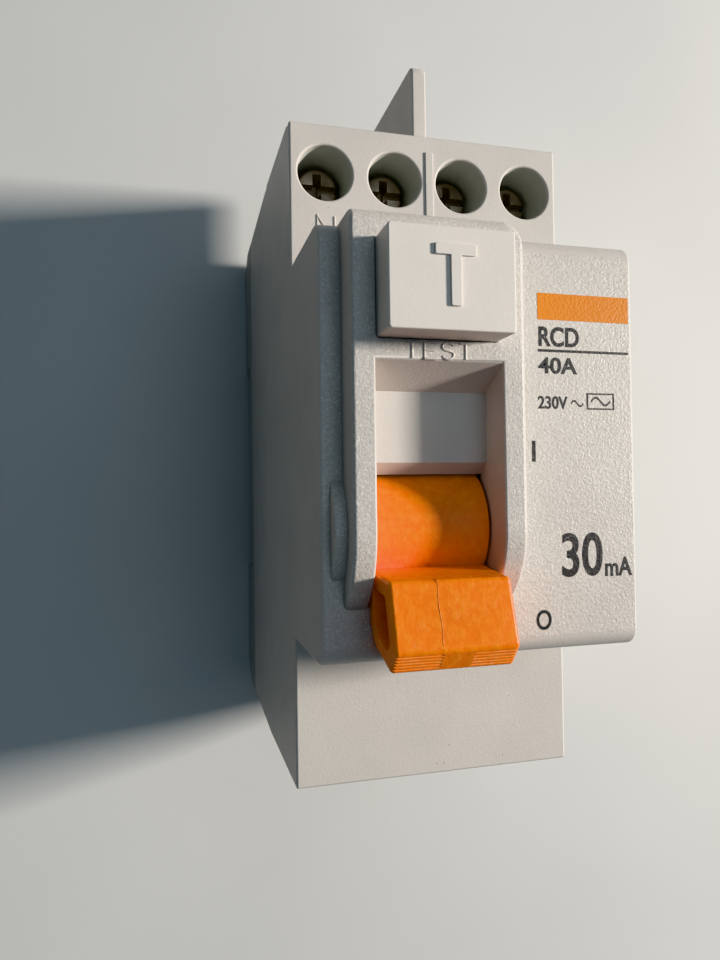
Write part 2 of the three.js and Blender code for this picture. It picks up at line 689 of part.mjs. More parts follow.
function tripLever() {
  const { y, z } = TRIP;
  const pad = PLUNGER.high + GAP;
  const trip = [
    [y - 2.6, z], [-14, 28.9], [-20.6, 28.4], [-20.6, pad], [-17.4, pad], [-16, 26.9],
    [-12, 27.2], [y, z - 2.6], [y + 2.6, z], [y + 3, 41.4], [y + 0.8, 41.4], [y - 0.6, z + 3],
  ];
  const finger = rodX(y + 1.9, 40.2, 1.1, [-4, TRIP.right], 12);
  return cut(
    join(prismX(trip, [TRIP.left, TRIP.right]), finger),
    rodX(y, z, 1.3, [9, 14], 20));
}

function secondaryLead(side) {
  const y = TOROID.y + side * 2;
  return wire([
    [TOROID.x + 8, y, 17.8], [TOROID.x + 8, y, 19.2], [RELAY.left - GAP, y, 19.2],
  ], 0.7, 0.35, 16, 6);
}

function addTripUnit() {
  const { inner, outer, bottom, top } = TOROID;
  add('toroid_core', ringAboutToroid(inner, outer, bottom, top), 'ferrite');
  add('secondary_winding', secondaryWinding(), 'winding');
  [0, 1].forEach((i) => add(`primary_lead_${i + 1}`, primaryLead(i), 'insulation'));
  [-1, 1].forEach((side, i) => add(`secondary_lead_${i + 1}`, secondaryLead(side), 'insulation'));
  add('trip_relay', tripRelay(), 'relay');
  const { x, y, radius, low, high } = PLUNGER;
  add('relay_plunger', rodZ(x, y, radius, [low, high], 16), 'steel');
  add('trip_lever', tripLever(), 'frame');
  add('trip_axle', rodX(TRIP.y, TRIP.z, 1, [8.3, 16], 16), 'steel');
  add('trip_lever_spring', coil('z', [x, -13.6, RELAY.high + GAP], 1.3, 0.25, 4.2, 4), 'spring');
}

// ---- test button --------------------------------------------------------------------------

function testButton() {
  const { left, right, bottom, top, z, relief } = BUTTON;
  const letter = [z - 0.1, z + relief];
  return join(
    box([left, right], [bottom, top], [62, z]),
    box([left - 0.63, right + 1.22], [bottom - 0.6, top + GAP], [61.3, 62.7]),
    rodZ(STEM.x, STEM.y, STEM.radius, [STEM.tip, 62], 20),
    box([-8.73, -4.62], [16.9, 17.97], letter),
    box([-7.2, -6.12], [12.15, 17], letter));
}

function testButtonGuide() {
  return cut(
    join(
      box([-16.1, 16.1], [11.5, 20.6], [49.6, 50.8]),
      box([9, 11], [13.3, 17.7], [45.6, 50])),
    rodZ(STEM.x, STEM.y, STEM.radius + 0.5, [49, 52]));
}

function testResistor() {
  const z = 42.5;
  const leads = wire([
    [-8.5, STEM.y, 44.9], [-8.5, STEM.y, z], [10, STEM.y, z], [10, STEM.y, 45.3],
  ], 0.8, 0.35, 36, 6);
  return join(leads, rodX(STEM.y, z, 1.3, [-3.5, 4.5], 16));
}

function addTestCircuit() {
  add('test_button', testButton(), 'button');
  add('test_button_guide', testButtonGuide(), 'frame');
  add('test_button_spring', coil('z', [STEM.x, STEM.y, 51.1], 3, 0.35, 9.9, 5), 'spring');
  add('test_contact_blade', box([-9.5, 8.6], [14, 17], [47.5, 47.9]), 'copper');
  add('test_resistor', testResistor(), 'resistor');
}

// ---- assembly -----------------------------------------------------------------------------

add('front_housing', frontHousing(), 'casing');
add('rear_base', rearBase(), 'base');
add('terminal_barrier', terminalBarrier(), 'casing');
add('din_latch', dinLatch(), 'frame');
add('din_latch_spring', coil('y', [0, -32.2, -2.5], 0.75, 0.2, 7.9, 6), 'spring');
add('toggle_lever', toggleLever(), 'toggle');
add('toggle_axle', rodX(TOGGLE.y, TOGGLE.z, AXLE.radius, [-15.1, 1.8], 20), 'steel');
add('link_rod', linkRod(), 'steel');
add('mechanism_frame', mechanismFrame(), 'frame');
addTerminals();
addContacts();
addTripUnit();
addTestCircuit();

export default device;
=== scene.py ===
import json
import math

import bmesh
import bpy
from mathutils import Euler, Matrix, Vector


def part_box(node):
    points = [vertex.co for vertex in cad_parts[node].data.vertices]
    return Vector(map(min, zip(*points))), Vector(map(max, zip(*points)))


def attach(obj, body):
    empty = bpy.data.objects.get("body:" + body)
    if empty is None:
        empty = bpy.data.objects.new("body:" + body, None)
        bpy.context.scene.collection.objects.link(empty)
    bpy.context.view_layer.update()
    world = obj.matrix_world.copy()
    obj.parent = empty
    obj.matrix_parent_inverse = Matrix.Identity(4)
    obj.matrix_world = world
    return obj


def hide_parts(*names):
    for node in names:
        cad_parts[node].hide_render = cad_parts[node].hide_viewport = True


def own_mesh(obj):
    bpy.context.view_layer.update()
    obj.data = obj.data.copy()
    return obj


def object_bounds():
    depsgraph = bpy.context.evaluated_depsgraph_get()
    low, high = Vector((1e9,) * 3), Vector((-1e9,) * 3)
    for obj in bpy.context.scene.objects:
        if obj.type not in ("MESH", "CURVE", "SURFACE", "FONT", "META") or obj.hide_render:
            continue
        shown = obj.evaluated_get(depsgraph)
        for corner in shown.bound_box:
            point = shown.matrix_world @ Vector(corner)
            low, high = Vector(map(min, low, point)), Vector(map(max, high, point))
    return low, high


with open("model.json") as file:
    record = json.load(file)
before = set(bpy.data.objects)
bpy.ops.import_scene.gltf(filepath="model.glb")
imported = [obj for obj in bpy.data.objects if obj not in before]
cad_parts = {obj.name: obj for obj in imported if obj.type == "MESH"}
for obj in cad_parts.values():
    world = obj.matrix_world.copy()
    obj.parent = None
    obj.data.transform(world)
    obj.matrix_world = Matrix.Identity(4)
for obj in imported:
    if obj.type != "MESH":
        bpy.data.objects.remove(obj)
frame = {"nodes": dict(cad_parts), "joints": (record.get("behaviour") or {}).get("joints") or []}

CAD_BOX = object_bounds()
MM = 0.001

# ---- sizes in millimetres, from the frame where it has them ----------------------------------


def box_mm(node):
    """Lowest and highest corner of a CAD node."""
    return [Vector([round(value / MM, 3) for value in corner]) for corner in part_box(node)]


JOINTS = {joint["name"]: joint for joint in frame["joints"]}

HOUSING_LOW, HOUSING_HIGH = box_mm("front_housing")
HALF_WIDTH = HOUSING_HIGH.x
BODY_HALF_HEIGHT = -HOUSING_LOW.y
BEZEL_Z = HOUSING_HIGH.z
SPLIT_Z = HOUSING_LOW.z
BACK_HALF_HEIGHT = 39
NOSE_HALF_HEIGHT = 22.5
TAPER_Z = 22
SHOULDER_Z = 44
FACE_Z = 60
WALL = 1.6
NOSE_ROLL = 2
PANEL_Y, PANEL_LOW, PANEL_HIGH = HOUSING_HIGH.y, 23.5, 41.9

BEZEL_LEFT, BEZEL_RIGHT = -15.75, 2.5
WINDOW_LEFT, WINDOW_RIGHT = -13.35, 0.03
WINDOW_TOP, WINDOW_FLOOR_TOP, WINDOW_FLOOR_BOTTOM = 7.9, 5.3, -2.0
OPENING_TOP, OPENING_BOTTOM = -3.2, -18.5
OPENING_LOW = FACE_Z - 12
COLUMN_FOOT = -16.6

PIVOT_Y, PIVOT_Z = [value / MM for value in JOINTS["toggle_swing"]["pos_m"][1:]]
COLUMN_RADIUS = BEZEL_Z - PIVOT_Z
AXLE_HOLE = 1.65
BOSS_RADIUS = 7.35
BOSS_LEFT = -17.05
LEVER_LOW, LEVER_HIGH = box_mm("toggle_lever")
LEVER_LEFT, LEVER_RIGHT = -13.0, -0.45
BAND_LEFT, BAND_RIGHT = -8.1, -5.0
BARREL_RADIUS = 6.35
CRANK_RADIUS = 6.6
CRANK_LEAN = 40

BUTTON_LEFT, BUTTON_RIGHT = -13.22, -0.49
BUTTON_BOTTOM, BUTTON_TOP = 9.9, 19.65
BUTTON_Z = 68.35
BUTTON_LOW, BUTTON_HIGH = [corner.z for corner in box_mm("test_button")]
FLANGE_LOW, FLANGE_HIGH = 61.3, 62.7
T_BAR = (-8.73, -4.62, 16.9, 17.97)
T_STEM = (-7.2, -6.12, 12.15, 17.6)
STEM_X, STEM_Y, STEM_RADIUS = -6.9, 15.5, 1.9

TERMINALS = [sum(box_mm(f"terminal_screw_{i}"), Vector()) / 2 for i in range(1, 5)]
TERMINAL_Y = TERMINALS[0].y
ACCESS_RADIUS, LEDGE_RADIUS = 3.45, 2.6
LEDGE_Z = 33
BLOCK_Z = 31.6
SCREW_LOW, SCREW_HIGH = [corner.z for corner in box_mm("terminal_screw_1")]

FIN_LOW, FIN_HIGH = box_mm("terminal_barrier")


# ---- outlines --------------------------------------------------------------------------------


def arc(u, v, radius, start, end, steps):
    angles = [math.radians(start + (end - start) * i / steps) for i in range(steps + 1)]
    return [(u + radius * math.cos(a), v + radius * math.sin(a)) for a in angles]


def circle(u, v, radius, steps=64):
    return arc(u, v, radius, 0, 360 - 360 / steps, steps - 1)


def rounded_rectangle(left, right, bottom, top, radius, steps=4):
    corners = [
        (right - radius, top - radius, 0),
        (left + radius, top - radius, 90),
        (left + radius, bottom + radius, 180),
        (right - radius, bottom + radius, 270),
    ]
    return [point for u, v, start in corners for point in arc(u, v, radius, start, start + 90, steps)]


def grown_circle(u, v, radius, steps):
    """An outline for stack: a circle whose radius takes the level's growth."""
    return lambda growth: circle(u, v, radius + growth, steps)


def grown_rectangle(left, right, bottom, top, radius, steps=4, corner_share=0):
    """An outline for stack: its sides take the level's growth, and its corners a share of it."""
    return lambda growth: rounded_rectangle(
        left - growth, right + growth, bottom - growth, top + growth,
        radius + corner_share * growth, steps)


def turned(points, pivot_u, pivot_v, degrees):
    """Local points turned about the origin and moved to a pivot."""
    c, s = math.cos(math.radians(degrees)), math.sin(math.radians(degrees))
    return [(pivot_u + u * c - v * s, pivot_v + u * s + v * c) for u, v in points]


def quarter(radius, steps=4):
    """Pairs (across, along) from 0 to radius on a quarter circle, for rounded tops and mouths."""
    return [(radius - radius * math.cos(a), radius * math.sin(a))
            for a in (math.pi / 2 * i / steps for i in range(steps + 1))]


# ---- closed meshes, in millimetres -----------------------------------------------------------

WELD_DISTANCE = 0.0005


def as_mesh(bm):
    mesh = bpy.data.meshes.new("shape")
    bm.to_mesh(mesh)
    bm.free()
    return mesh


def placed(axis, u, v, along):
    return {"x": (along, u, v), "y": (u, along, v), "z": (u, v, along)}[axis]


def loft(rings, closed=True):
    """A closed body through rings of equal length."""
    bm = bmesh.new()
    loops = [[bm.verts.new(point) for point in ring] for ring in rings]
    if closed:
        bm.faces.new(loops[0])
        bm.faces.new(loops[-1])
    else:
        loops.append(loops[0])
    for low, high in zip(loops, loops[1:]):
        for i in range(len(low)):
            bm.faces.new((low[i - 1], low[i], high[i], high[i - 1]))
    bmesh.ops.recalc_face_normals(bm, faces=bm.faces[:])
    return as_mesh(bm)


def prism(outline, axis, low, high):
    return loft([[placed(axis, u, v, along) for u, v in outline] for along in (low, high)])


def block(x, y, z):
    return prism([(x[0], y[0]), (x[1], y[0]), (x[1], y[1]), (x[0], y[1])], "z", *z)


def stack(outline_at, levels, axis="z"):
    """A body whose outline grows or shrinks from level to level: levels are (along, growth)."""
    return loft([
        [placed(axis, u, v, along) for u, v in outline_at(growth)] for along, growth in levels])


def round_top(low, high, radius):
    return [(low, 0), *((high - radius + along, -across) for across, along in quarter(radius))]


def round_both(low, high, radius):
    return [(low + radius - along, -across) for across, along in reversed(quarter(radius))] + [
        (high - radius + along, -across) for across, along in quarter(radius)]


def flared(low, mouth, radius):
    """Levels for a cutter whose mouth leaves a rounded rim, 1 mm past the surface."""
    return [(low, 0), *((mouth - radius + along, across) for across, along in quarter(radius)),
            (mouth + 1, radius)]


def tube(points, radius):
    """A round wire through points."""
    curve = bpy.data.curves.new("wire", "CURVE")
    curve.dimensions = "3D"
    curve.bevel_depth = radius
    curve.bevel_resolution = 3
    curve.use_fill_caps = True
    spline = curve.splines.new("POLY")
    spline.points.add(len(points) - 1)
    for target, point in zip(spline.points, points):
        target.co = (*point, 1)
    return converted(curve)


def converted(curve):
    holder = bpy.data.objects.new("holder", curve)
    bpy.context.scene.collection.objects.link(holder)
    graph = bpy.context.evaluated_depsgraph_get()
    mesh = bpy.data.meshes.new_from_object(holder.evaluated_get(graph))
    bpy.data.objects.remove(holder)
    return welded(mesh)


def welded(mesh):
    bm = bmesh.new()
    bm.from_mesh(mesh)
    bmesh.ops.remove_doubles(bm, verts=bm.verts, dist=WELD_DISTANCE)
    bmesh.ops.recalc_face_normals(bm, faces=bm.faces[:])
    bm.to_mesh(mesh)
    bm.free()
    return mesh


def gathered(meshes):
    """One mesh of several, left as separate closed shells."""
    bm = bmesh.new()
    for mesh in meshes:
        bm.from_mesh(mesh)
    return as_mesh(bm)


def modified(mesh, changes):
    """mesh after the modifiers that changes lists as (kind, settings)."""
    holder = bpy.data.objects.new("holder", mesh)
    bpy.context.scene.collection.objects.link(holder)
    for kind, settings in changes:
        modifier = holder.modifiers.new(kind, kind)
        for key, value in settings.items():
            setattr(modifier, key, value)
    graph = bpy.context.evaluated_depsgraph_get()
    result = bpy.data.meshes.new_from_object(holder.evaluated_get(graph))
    bpy.data.objects.remove(holder)
    return result


def combined(mesh, operation, others):
    tools = []
    for other in others:
        tool = bpy.data.objects.new("tool", other)
        bpy.context.scene.collection.objects.link(tool)
        tools.append(tool)
    settings = {"operation": operation, "solver": "MANIFOLD"}
    result = modified(mesh, [("BOOLEAN", {**settings, "object": tool}) for tool in tools])
    for tool in tools:
        bpy.data.objects.remove(tool)
    return welded(result)


def joined(mesh, *others):
    return combined(mesh, "UNION", others)


def cut(mesh, *others):
    return combined(mesh, "DIFFERENCE", others)


def bevelled(mesh, radius, share, segments=3):
    """mesh with rounded edges. share gives each edge's part of radius from its two ends."""
    name = "bevel_weight_edge"
    weights = mesh.attributes.get(name) or mesh.attributes.new(name, "FLOAT", "EDGE")
    for edge in mesh.edges:
        a, b = (mesh.vertices[i].co for i in edge.vertices)
        weights.data[edge.index].value = float(share(a, b))
    result = modified(mesh, [("BEVEL", {
        "width": radius, "segments": segments, "limit_method": "WEIGHT", "use_clamp_overlap": False})])
    return welded(result)


def near(value, *targets, slack=0.02):
    return any(abs(value - target) < slack for target in targets)


def both(a, b, test):
    return test(a) and test(b)


# ---- materials -------------------------------------------------------------------------------


class Nodes:
    """A material's node tree, with short calls for what the finishes here are made of."""

    def __init__(self, name):
        self.material = bpy.data.materials.new(name)
        self.material.use_nodes = True
        self.tree = self.material.node_tree
        self.shader = self.tree.nodes["Principled BSDF"]
        self.place = self.add("ShaderNodeTexCoord").outputs["Object"]

    def add(self, kind, inputs=(), **settings):
        node = self.tree.nodes.new(kind)
        for key, value in settings.items():
            setattr(node, key, value)
        for key, value in dict(inputs).items():
            if isinstance(value, bpy.types.NodeSocket):
                self.tree.links.new(value, node.inputs[key])
            else:
                node.inputs[key].default_value = value
        return node

    def stretched(self, scale):
        return self.add("ShaderNodeMapping", {"Vector": self.place, "Scale": scale}).outputs["Vector"]

    def noise(self, size, detail=2.0, roughness=0.5, place=None):
        """Noise whose features are about size millimetres wide."""
        settings = {"Vector": place or self.place, "Scale": 1 / (size * MM), "Detail": detail,
                    "Roughness": roughness}
        return self.add("ShaderNodeTexNoise", settings).outputs["Fac"]

    def cells(self, size):
        settings = {"Vector": self.place, "Scale": 1 / (size * MM)}
        return self.add("ShaderNodeTexVoronoi", settings).outputs

    def ranged(self, value, low, high, to_low=0.0, to_high=1.0):
        settings = {
            "Value": value, "From Min": low, "From Max": high, "To Min": to_low, "To Max": to_high}
        return self.add("ShaderNodeMapRange", settings).outputs["Result"]

    def calculated(self, operation, *values):
        return self.add("ShaderNodeMath", dict(enumerate(values)), operation=operation).outputs[0]

    def times(self, a, b):
        return self.calculated("MULTIPLY", a, b)

    def minus(self, a, b):
        return self.calculated("SUBTRACT", a, b)

    def plus(self, a, b):
        return self.calculated("ADD", a, b)

    def mix(self, factor, a, b):
        node = self.add("ShaderNodeMix", data_type="RGBA")
        for index, value in ((0, factor), (6, a), (7, b)):
            if isinstance(value, bpy.types.NodeSocket):
                self.tree.links.new(value, node.inputs[index])
            elif index == 0:
                node.inputs[index].default_value = value
            else:
                node.inputs[index].default_value = (*value, 1)
        return node.outputs[2]

    def bump(self, height, depth, normal=None):
        """Bump of a height from 0 to 1, depth in millimetres."""
        inputs = {"Height": height, "Distance": depth * MM, "Strength": 1.0}
        if normal:
            inputs["Normal"] = normal
        return self.add("ShaderNodeBump", inputs).outputs["Normal"]

    def edges(self, width):
        """1 on rounded edges narrower than about width millimetres, 0 on flat walls."""
        rounded = self.add("ShaderNodeBevel", {"Radius": width * MM}, samples=4).outputs["Normal"]
        true = self.add("ShaderNodeNewGeometry").outputs["Normal"]
        dot = self.add("ShaderNodeVectorMath", {0: rounded, 1: true}, operation="DOT_PRODUCT")
        return self.ranged(dot.outputs["Value"], 0.995, 0.8)

    def finish(self, colour, roughness, normal=None, **constants):
        for key, value in (("Base Color", colour), ("Roughness", roughness), ("Normal", normal)):
            if isinstance(value, bpy.types.NodeSocket):
                self.tree.links.new(value, self.shader.inputs[key])
            elif key == "Base Color":
                self.shader.inputs[key].default_value = (*value, 1)
            elif value is not None:
                self.shader.inputs[key].default_value = value
        for key, value in constants.items():
            self.shader.inputs[key.replace("_", " ")].default_value = value
        return self.material


def tinted(colour, factor):
    return tuple(min(1.0, channel * factor) for channel in colour)


def moulded(name, colour, roughness=0.5, grain=0.35, depth=0.012, sparkle=0.0, wear=0.5, specks=0.5):
    """Injection-moulded plastic: mottled colour, spark-eroded grain, worn edges and dust specks; with
    sparkle, also painted glints and painted shade in the grain's pits.
    """
    n = Nodes(name)
    mottle = n.ranged(n.noise(9, 3), 0.3, 0.7)
    shade = n.mix(mottle, tinted(colour, 0.955), tinted(colour, 1.03))
    fine = n.noise(grain, 3, 0.6)
    shade = n.mix(n.ranged(fine, 0.35, 0.75, 0.0, 0.22), shade, tinted(colour, 1.12))
    cell = n.cells(2.6)
    speck = n.times(n.ranged(cell["Distance"], 0.05, 0.025), n.ranged(cell["Color"], 0.62, 0.66))
    shade = n.mix(n.times(speck, specks), shade, tinted(colour, 0.3))
    rim = n.times(n.edges(0.35), n.ranged(n.noise(1.6, 3), 0.35, 0.65, 0.35, 1.0))
    shade = n.mix(n.times(rim, wear * 0.5), shade, tinted(colour, 1.25))
    gloss = n.ranged(n.noise(5, 4), 0.3, 0.7, roughness + 0.05, roughness - 0.05)
    gloss = n.minus(gloss, n.times(rim, 0.16))
    normal = n.bump(fine, depth)
    if sparkle:
        crater = n.noise(grain * 0.6, 2, 0.7)
        normal = n.bump(crater, sparkle, normal)
        # Painted shade: the grain's pits are darkened in the colour.
        painted_pit_shade = n.ranged(n.noise(grain * 0.9, 2, 0.6), 0.46, 0.36)
        shade = n.mix(n.times(painted_pit_shade, 0.35), shade, tinted(colour, 0.76))
        # Painted highlight: near-white glints in the colour where grain facets would catch the light.
        spark = n.ranged(n.noise(grain * 0.55, 2, 0.6), 0.56, 0.63)
        painted_glint = n.times(spark, n.ranged(mottle, 0, 1, 0.5, 1.0))
        shade = n.mix(n.times(painted_glint, 0.46), shade, (1.0, 0.98, 0.93))
        gloss = n.minus(gloss, n.times(painted_glint, 0.14))
    return n.finish(shade, gloss, normal, Specular_IOR_Level=0.5)


def lever_plastic(name, colour):
    """The toggle's saturated plastic: a soft sheen, rubbed streaks and pale stress marks."""
    n = Nodes(name)
    mottle = n.ranged(n.noise(7, 3), 0.3, 0.7)
    shade = n.mix(mottle, tinted(colour, 0.88), tinted(colour, 1.06))
    fine = n.noise(0.8, 4, 0.6)
    shade = n.mix(n.ranged(fine, 0.4, 0.64, 0.0, 0.5), shade, (0.97, 0.32, 0.035))
    streak = n.noise(0.5, 4, 0.65, n.stretched((1.0, 0.22, 0.4)))
    rubbed = n.times(n.ranged(streak, 0.56, 0.7), n.ranged(n.noise(4, 2), 0.45, 0.62))
    pale = (0.95, 0.48, 0.22)
    shade = n.mix(n.times(rubbed, 0.3), shade, pale)
    cell = n.cells(3.1)
    speck = n.times(n.ranged(cell["Distance"], 0.05, 0.03), n.ranged(cell["Color"], 0.55, 0.6))
    shade = n.mix(n.times(speck, 0.6), shade, tinted(colour, 0.25))
    rim = n.times(n.edges(0.3), n.ranged(n.noise(1.1, 3), 0.35, 0.65, 0.3, 1.0))
    shade = n.mix(n.times(rim, 0.55), shade, pale)
    gloss = n.ranged(n.noise(3, 4), 0.3, 0.7, 0.42, 0.3)
    normal = n.bump(n.noise(0.3, 3, 0.6), 0.012)
    normal = n.bump(fine, 0.06, n.bump(streak, 0.015, normal))
    return n.finish(shade, gloss, normal, Specular_IOR_Level=0.4)


def printed(name, colour, ground):
    """Pad-printed ink, broken here and there where the grain's peaks show through."""
    n = Nodes(name)
    grain = n.noise(0.35, 3, 0.6)
    worn = n.times(n.ranged(grain, 0.63, 0.7), n.ranged(n.noise(3, 2), 0.4, 0.6, 0.25, 1.0))
    shade = n.mix(n.times(worn, 0.35), colour, ground)
    normal = n.bump(n.cells(0.32)["Distance"], 0.02, n.bump(grain, 0.012))
    return n.finish(shade, n.ranged(grain, 0.3, 0.7, 0.5, 0.38), normal, Specular_IOR_Level=0.5)


def plated(name, colour, roughness, dirt, marks=0.4):
    """Plated or drawn metal: fine drawing lines, dull patches, tarnish away from the edges."""
    n = Nodes(name)
    line = n.noise(0.25, 3, 0.6, n.stretched((1.0, 1.0, 0.12)))
    patch = n.ranged(n.noise(2.2, 4), 0.4, 0.65)
    shade = n.mix(n.times(patch, marks), colour, dirt)
    rim = n.edges(0.2)
    shade = n.mix(n.times(rim, 0.4), shade, tinted(colour, 1.25))
    gloss = n.plus(n.ranged(line, 0.3, 0.7, roughness - 0.06, roughness + 0.08), n.times(patch, 0.14))
    return n.finish(shade, gloss, n.bump(line, 0.004), Metallic=1.0)


def centre_of(node):
    low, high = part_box(node)
    return (low + high) / 2


def wound(name, colour, pitch):
    """Varnished wire wound side by side: ridges round the core, with painted shade between turns."""
    n = Nodes(name)
    centre = tuple(-value for value in centre_of("toroid_core"))
    middle = n.add("ShaderNodeMapping", {"Vector": n.place, "Location": centre}).outputs["Vector"]
    parts = n.add("ShaderNodeSeparateXYZ", {0: middle}).outputs
    angle = n.calculated("ARCTAN2", parts["Y"], parts["X"])
    ridge = n.calculated("SINE", n.times(angle, 360 / pitch))
    height = n.ranged(ridge, -1, 1)
    # Painted shade: the colour darkens into the valleys between turns.
    shade = n.mix(height, tinted(colour, 0.35), colour)
    return n.finish(shade, 0.3, n.bump(height, 0.12), Metallic=0.6, Coat_Weight=0.5)


GREY = (0.615, 0.577, 0.541)
GREY_SMOOTH = (0.77, 0.72, 0.672)
ORANGE = (0.92, 0.2, 0.002)
INK = (0.025, 0.025, 0.028)

MATERIALS = {
    "casing": moulded("casing_plastic", GREY, 0.5, 0.3, 0.025),
    # The face's spark-eroded grain, with painted glints and painted shade in its pits.
    "face": moulded(
        "casing_grain_painted_highlights_and_shade", tinted(GREY, 0.97), 0.38, 0.42, 0.05, sparkle=0.04, wear=0.3),
    # Painted shade with a painted greenish reflection, for the inner walls of the access holes.
    "recess": moulded("recess_painted_shade", (0.56, 0.57, 0.53), 0.6, 0.35, 0.03, wear=0.2),
    "base": moulded("base_plastic", tinted(GREY, 0.8), 0.55, 0.35, 0.03),
    "button": moulded("button_plastic", GREY_SMOOTH, 0.42, 0.5, 0.012, wear=0.6),
    "screw": plated("tarnished_screw", (0.36, 0.29, 0.22), 0.42, (0.10, 0.075, 0.05), 0.6),
    "toggle": lever_plastic("toggle_plastic", ORANGE),
    "ink": printed("printed_ink", INK, GREY),
    "band": printed("printed_band", (0.72, 0.225, 0.006), tinted(ORANGE, 1.0)),
    "frame": moulded("glass_filled_plastic", (0.03, 0.031, 0.034), 0.5, 0.4, 0.02, specks=0.0),
    "steel": plated("zinc_plated_steel", (0.42, 0.40, 0.37), 0.34, (0.17, 0.125, 0.08)),
    "spring": plated("spring_steel", (0.50, 0.50, 0.51), 0.25, (0.22, 0.20, 0.18)),
    "copper": plated("copper_strip", (0.72, 0.34, 0.18), 0.3, (0.35, 0.14, 0.07)),
    "silver": plated("silver_contact", (0.78, 0.78, 0.77), 0.3, (0.42, 0.39, 0.34)),
    "core": moulded("core_coating", (0.035, 0.07, 0.13), 0.4, 0.5, 0.02, specks=0.0),
    "winding": wound("varnished_winding", (0.55, 0.16, 0.05), 1.6),
    "insulation": moulded("lead_insulation", (0.02, 0.09, 0.32), 0.4, 0.6, 0.006, specks=0.0),
    "relay": moulded("relay_case", (0.02, 0.021, 0.023), 0.4, 0.5, 0.01, specks=0.0),
    "resistor": moulded("resistor_body", (0.33, 0.45, 0.36), 0.4, 0.5, 0.01, specks=0.0),
}


# ---- making pieces ---------------------------------------------------------------------------

SHARP_ANGLE = math.radians(38)


def piece(name, mesh, body, materials, replaces=(), pick=None):
    """A finished piece: shaded smooth across rounded edges, in metres, riding on its CAD body."""
    bm = bmesh.new()
    bm.from_mesh(mesh)
    bmesh.ops.dissolve_limit(bm, angle_limit=math.radians(0.4), verts=bm.verts, edges=bm.edges)
    for face in bm.faces:
        face.smooth = True
        face.material_index = pick(face) if pick else 0
    for edge in bm.edges:
        edge.smooth = len(edge.link_faces) == 2 and edge.calc_face_angle(0) < SHARP_ANGLE
    bm.transform(Matrix.Scale(MM, 4))
    mesh.name = name
    mesh.materials.clear()
    for key in materials:
        mesh.materials.append(MATERIALS[key])
    bm.to_mesh(mesh)
    bm.free()
    made = bpy.data.objects.new(name, mesh)
    bpy.context.scene.collection.objects.link(made)
    normals = made.modifiers.new("normals", "WEIGHTED_NORMAL")
    normals.keep_sharp = True
    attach(made, body)
    if replaces:
        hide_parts(*replaces)
    return made


# ---- front housing ---------------------------------------------------------------------------

EDGE = 0.3


def casing_outer():
    nose = NOSE_HALF_HEIGHT
    outline = [
        (-BACK_HALF_HEIGHT, SPLIT_Z), (BACK_HALF_HEIGHT, SPLIT_Z), (BODY_HALF_HEIGHT, TAPER_Z),
        (BODY_HALF_HEIGHT, SHOULDER_Z), (nose, SHOULDER_Z), (nose, FACE_Z), (-nose, FACE_Z),
        (-nose, SHOULDER_Z), (-BODY_HALF_HEIGHT, SHOULDER_Z), (-BODY_HALF_HEIGHT, TAPER_Z),
    ]
    body = prism(outline, "x", -HALF_WIDTH, HALF_WIDTH)

    def nose_edge(a, b):
        return both(a, b, lambda p: near(p.z, FACE_Z) and near(abs(p.y), nose)) and not near(a.x, b.x)

    def outer_edge(a, b):
        if both(a, b, lambda p: near(abs(p.x), HALF_WIDTH)) and near(a.x, b.x):
            return 0.4 if both(a, b, lambda p: near(p.z, SPLIT_Z)) else 1
        shoulder = both(a, b, lambda p: near(p.z, SHOULDER_Z) and near(abs(p.y), BODY_HALF_HEIGHT))
        return shoulder and near(a.y, b.y)

    return bevelled(bevelled(body, NOSE_ROLL, nose_edge, 8), EDGE, outer_edge, 4)


def column_top(y):
    """Height of the bezel's front surface: flat, then falling round the toggle's axis."""
    if y > PIVOT_Y:
        return BEZEL_Z
    return PIVOT_Z + math.sqrt(max(0, COLUMN_RADIUS ** 2 - (y - PIVOT_Y) ** 2))


def bezel_outer():
    """The bezel as slices along x, for its side edges, end roll and corner seen from above."""
    end_roll, side_roll, left_corner, right_corner = 1.4, 0.42, 0.45, 2.0
    under = FACE_Z - 1

    def inset(distance, radius):
        reach = max(0.0, radius - distance)
        return radius - math.sqrt(radius ** 2 - reach ** 2)

    def slice_at(insets):
        top, end = BEZEL_Z - insets[0], NOSE_HALF_HEIGHT - insets[1]
        return [
            (end, under - 1), *arc(end - end_roll, top - end_roll, end_roll, 0, 90, 8),
            *arc(PIVOT_Y, PIVOT_Z, COLUMN_RADIUS - insets[0], 90, 146, 32),
            (COLUMN_FOOT, under), (NOSE_HALF_HEIGHT - 4, under), (NOSE_HALF_HEIGHT - 4, under - 1)]

    def side(at, inward, corner):
        distances = sorted({across for across, _ in quarter(side_roll) + quarter(corner, 10)})
        return [(at + inward * distance, (inset(distance, side_roll), inset(distance, corner)))
                for distance in distances]

    levels = side(BEZEL_LEFT, 1, left_corner) + side(BEZEL_RIGHT, -1, right_corner)[::-1]
    return stack(slice_at, levels, "x")


def hollow():
    back, end = BACK_HALF_HEIGHT - WALL, BODY_HALF_HEIGHT - WALL
    nose, under = NOSE_HALF_HEIGHT - WALL, SHOULDER_Z - WALL
    terminal_block = 28.6
    low = SPLIT_Z - 0.5
    main = prism([
        (-back, low), (back, low), (end, TAPER_Z), (end, BLOCK_Z), (terminal_block, BLOCK_Z),
        (terminal_block, under), (nose, under), (nose, FACE_Z - WALL), (-nose, FACE_Z - WALL),
        (-nose, under), (-end, under), (-end, TAPER_Z),
    ], "x", WALL - HALF_WIDTH, HALF_WIDTH - WALL)
    beside_cages = prism([
        (terminal_block, low), (back, low), (end, TAPER_Z), (end, BLOCK_Z), (terminal_block, BLOCK_Z),
    ], "x", 1 - HALF_WIDTH, HALF_WIDTH - 1)
    return joined(main, beside_cages)


